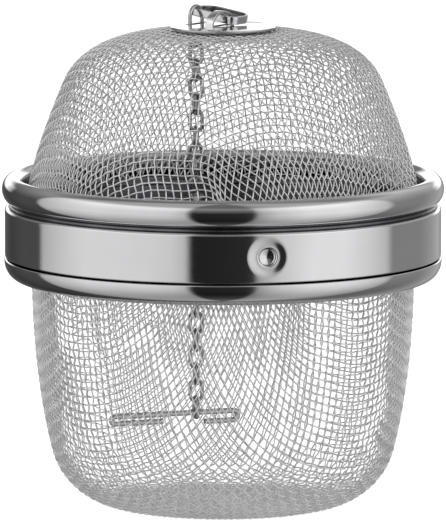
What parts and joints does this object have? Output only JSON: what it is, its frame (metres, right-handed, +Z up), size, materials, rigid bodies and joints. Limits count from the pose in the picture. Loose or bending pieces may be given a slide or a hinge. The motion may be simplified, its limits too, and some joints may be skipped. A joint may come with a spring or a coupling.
{
  "type": "tea infuser",
  "caption": "Wire-cloth tea infuser: a flat-bottomed basket and a domed lid in rolled steel rings that twist to lock, with a handle loop, an inner chain and a rim hook.",
  "frame": {"origin": "centre of the basket's flat bottom, on the surface it stands on", "axes": "+Z up through the lid's disc, -Y towards the side with the front lug"},
  "size_m": [0.0778, 0.0778, 0.0882],
  "materials": {
    "wire_cloth": "bright woven stainless wire",
    "ring_steel": "polished stainless sheet",
    "disc_steel": "polished stainless sheet",
    "handle_steel": "polished stainless strip",
    "wire_steel": "drawn stainless wire"
  },
  "bodies": {
    "base": {"basket_cloth": "wire_cloth", "base_ring": "ring_steel", "base_rim_wire": "wire_steel"},
    "lid_lift": {"lid_rim_wire": "wire_steel"},
    "lid": {"lid_ring": "ring_steel", "dome_clamp_ring": "wire_steel", "dome_cloth": "wire_cloth", "top_disc": "disc_steel", "inner_plate": "disc_steel"},
    "handle": {"handle_loop": "handle_steel"},
    "chain_ring": {"chain_ring": "wire_steel"},
    "chain_link_01": {"chain_link_01": "wire_steel"},
    "chain_link_02": {"chain_link_02": "wire_steel"},
    "chain_link_03": {"chain_link_03": "wire_steel"},
    "chain_link_04": {"chain_link_04": "wire_steel"},
    "chain_link_05": {"chain_link_05": "wire_steel"},
    "chain_link_06": {"chain_link_06": "wire_steel"},
    "chain_link_07": {"chain_link_07": "wire_steel"},
    "chain_link_08": {"chain_link_08": "wire_steel"},
    "chain_link_09": {"chain_link_09": "wire_steel"},
    "chain_link_10": {"chain_link_10": "wire_steel"},
    "chain_link_11": {"chain_link_11": "wire_steel"},
    "chain_link_12": {"chain_link_12": "wire_steel"},
    "chain_link_13": {"chain_link_13": "wire_steel"},
    "chain_link_14": {"chain_link_14": "wire_steel"},
    "chain_link_15": {"chain_link_15": "wire_steel"},
    "chain_link_16": {"chain_link_16": "wire_steel"},
    "chain_link_17": {"chain_link_17": "wire_steel"},
    "chain_link_18": {"chain_link_18": "wire_steel"},
    "chain_link_19": {"chain_link_19": "wire_steel"},
    "chain_link_20": {"chain_link_20": "wire_steel"},
    "chain_link_21": {"chain_link_21": "wire_steel"},
    "chain_link_22": {"chain_link_22": "wire_steel"},
    "hook": {"cup_hook": "wire_steel"}
  },
  "joints": [
    {"name": "lid_lift_off", "type": "slide", "parent": "base", "child": "lid_lift", "axis": [0, 0, 1], "range_m": [0, 0.06]},
    {"name": "lid_twist", "type": "hinge", "parent": "lid_lift", "child": "lid", "pos_m": [0, 0, 0.05], "axis": [0, 0, 1], "range_deg": [-25, 0]},
    {"name": "handle_swing", "type": "hinge", "parent": "lid", "child": "handle", "pos_m": [-0.00057, 0.00081, 0.08605], "axis": [0.8112, -0.568, -0.1392], "range_deg": [0, 100]},
    {"name": "chain_ring_swing", "type": "hinge", "parent": "lid", "child": "chain_ring", "pos_m": [-0.00474, 0.00374, 0.08759], "axis": [0.8192, -0.5736, 0], "range_deg": [-5, 5]},
    {"name": "chain_link_01_swing", "type": "hinge", "parent": "chain_ring", "child": "chain_link_01", "pos_m": [-0.00474, 0.00374, 0.08064], "axis": [0.5736, 0.8192, 0], "range_deg": [-7.1, 7.1]},
    {"name": "chain_link_02_swing", "type": "hinge", "parent": "chain_link_01", "child": "chain_link_02", "pos_m": [-0.00474, 0.00374, 0.07764], "axis": [0.9397, -0.342, 0], "range_deg": [-7.4, 7.4]},
    {"name": "chain_link_03_swing", "type": "hinge", "parent": "chain_link_02", "child": "chain_link_03", "pos_m": [-0.00474, 0.00374, 0.07464], "axis": [-0.3105, -0.9506, 0], "range_deg": [-7.8, 7.8]},
    {"name": "chain_link_04_swing", "type": "hinge", "parent": "chain_link_03", "child": "chain_link_04", "pos_m": [-0.00474, 0.00374, 0.07164], "axis": [-0.9604, 0.2787, 0], "range_deg": [-8.2, 8.2]},
    {"name": "chain_link_05_swing", "type": "hinge", "parent": "chain_link_04", "child": "chain_link_05", "pos_m": [-0.00474, 0.00374, 0.06864], "axis": [0.2465, 0.9691, 0], "range_deg": [-8.7, 8.7]},
    {"name": "chain_link_06_swing", "type": "hinge", "parent": "chain_link_05", "child": "chain_link_06", "pos_m": [-0.00474, 0.00374, 0.06564], "axis": [0.9768, -0.2141, 0], "range_deg": [-9.2, 9.2]},
    {"name": "chain_link_07_swing", "type": "hinge", "parent": "chain_link_06", "child": "chain_link_07", "pos_m": [-0.00474, 0.00374, 0.06264], "axis": [-0.1815, -0.9834, 0], "range_deg": [-9.8, 9.8]},
    {"name": "chain_link_08_swing", "type": "hinge", "parent": "chain_link_07", "child": "chain_link_08", "pos_m": [-0.00474, 0.00374, 0.05964], "axis": [-0.9889, 0.1486, 0], "range_deg": [-10.5, 10.5]},
    {"name": "chain_link_09_swing", "type": "hinge", "parent": "chain_link_08", "child": "chain_link_09", "pos_m": [-0.00474, 0.00374, 0.05664], "axis": [0.1156, 0.9933, 0], "range_deg": [-11.2, 11.2]},
    {"name": "chain_link_10_swing", "type": "hinge", "parent": "chain_link_09", "child": "chain_link_10", "pos_m": [-0.00474, 0.00374, 0.05364], "axis": [0.9966, -0.0824, 0], "range_deg": [-12.1, 12.1]},
    {"name": "chain_link_11_swing", "type": "hinge", "parent": "chain_link_10", "child": "chain_link_11", "pos_m": [-0.00474, 0.00374, 0.05064], "axis": [-0.0492, -0.9988, 0], "range_deg": [-13.2, 13.2]},
    {"name": "chain_link_12_swing", "type": "hinge", "parent": "chain_link_11", "child": "chain_link_12", "pos_m": [-0.00474, 0.00374, 0.04764], "axis": [-0.9999, 0.0159, 0], "range_deg": [-14.5, 14.5]},
    {"name": "chain_link_13_swing", "type": "hinge", "parent": "chain_link_12", "child": "chain_link_13", "pos_m": [-0.00474, 0.00374, 0.04464], "axis": [-0.0175, 0.9998, 0], "range_deg": [-16, 16]},
    {"name": "chain_link_14_swing", "type": "hinge", "parent": "chain_link_13", "child": "chain_link_14", "pos_m": [-0.00474, 0.00374, 0.04164], "axis": [0.9987, 0.0508, 0], "range_deg": [-17.9, 17.9]},
    {"name": "chain_link_15_swing", "type": "hinge", "parent": "chain_link_14", "child": "chain_link_15", "pos_m": [-0.00474, 0.00374, 0.03864], "axis": [0.084, -0.9965, 0], "range_deg": [-20.3, 20.3]},
    {"name": "chain_link_16_swing", "type": "hinge", "parent": "chain_link_15", "child": "chain_link_16", "pos_m": [-0.00474, 0.00374, 0.03564], "axis": [-0.9931, -0.1171, 0], "range_deg": [-23.5, 23.5]},
    {"name": "chain_link_17_swing", "type": "hinge", "parent": "chain_link_16", "child": "chain_link_17", "pos_m": [-0.00474, 0.00374, 0.03264], "axis": [-0.1502, 0.9887, 0], "range_deg": [-28, 28]},
    {"name": "chain_link_18_swing", "type": "hinge", "parent": "chain_link_17", "child": "chain_link_18", "pos_m": [-0.00474, 0.00374, 0.02964], "axis": [0.9831, 0.183, 0], "range_deg": [-30, 30]},
    {"name": "chain_link_19_swing", "type": "hinge", "parent": "chain_link_18", "child": "chain_link_19", "pos_m": [-0.00474, 0.00374, 0.02664], "axis": [0.2157, -0.9765, 0], "range_deg": [-30, 30]},
    {"name": "chain_link_20_swing", "type": "hinge", "parent": "chain_link_19", "child": "chain_link_20", "pos_m": [-0.00474, 0.00374, 0.02364], "axis": [-0.9687, -0.2481, 0], "range_deg": [-30, 30]},
    {"name": "chain_link_21_swing", "type": "hinge", "parent": "chain_link_20", "child": "chain_link_21", "pos_m": [-0.00474, 0.00374, 0.02064], "axis": [-0.2802, 0.9599, 0], "range_deg": [-30, 30]},
    {"name": "chain_link_22_swing", "type": "hinge", "parent": "chain_link_21", "child": "chain_link_22", "pos_m": [-0.00474, 0.00374, 0.01764], "axis": [0.9501, 0.312, 0], "range_deg": [-30, 30]},
    {"name": "hook_tilt", "type": "hinge", "parent": "chain_link_22", "child": "hook", "pos_m": [-0.00474, 0.00374, 0.01464], "axis": [-0.3435, 0.9391, 0], "range_deg": [-12, 12]}
  ]
}
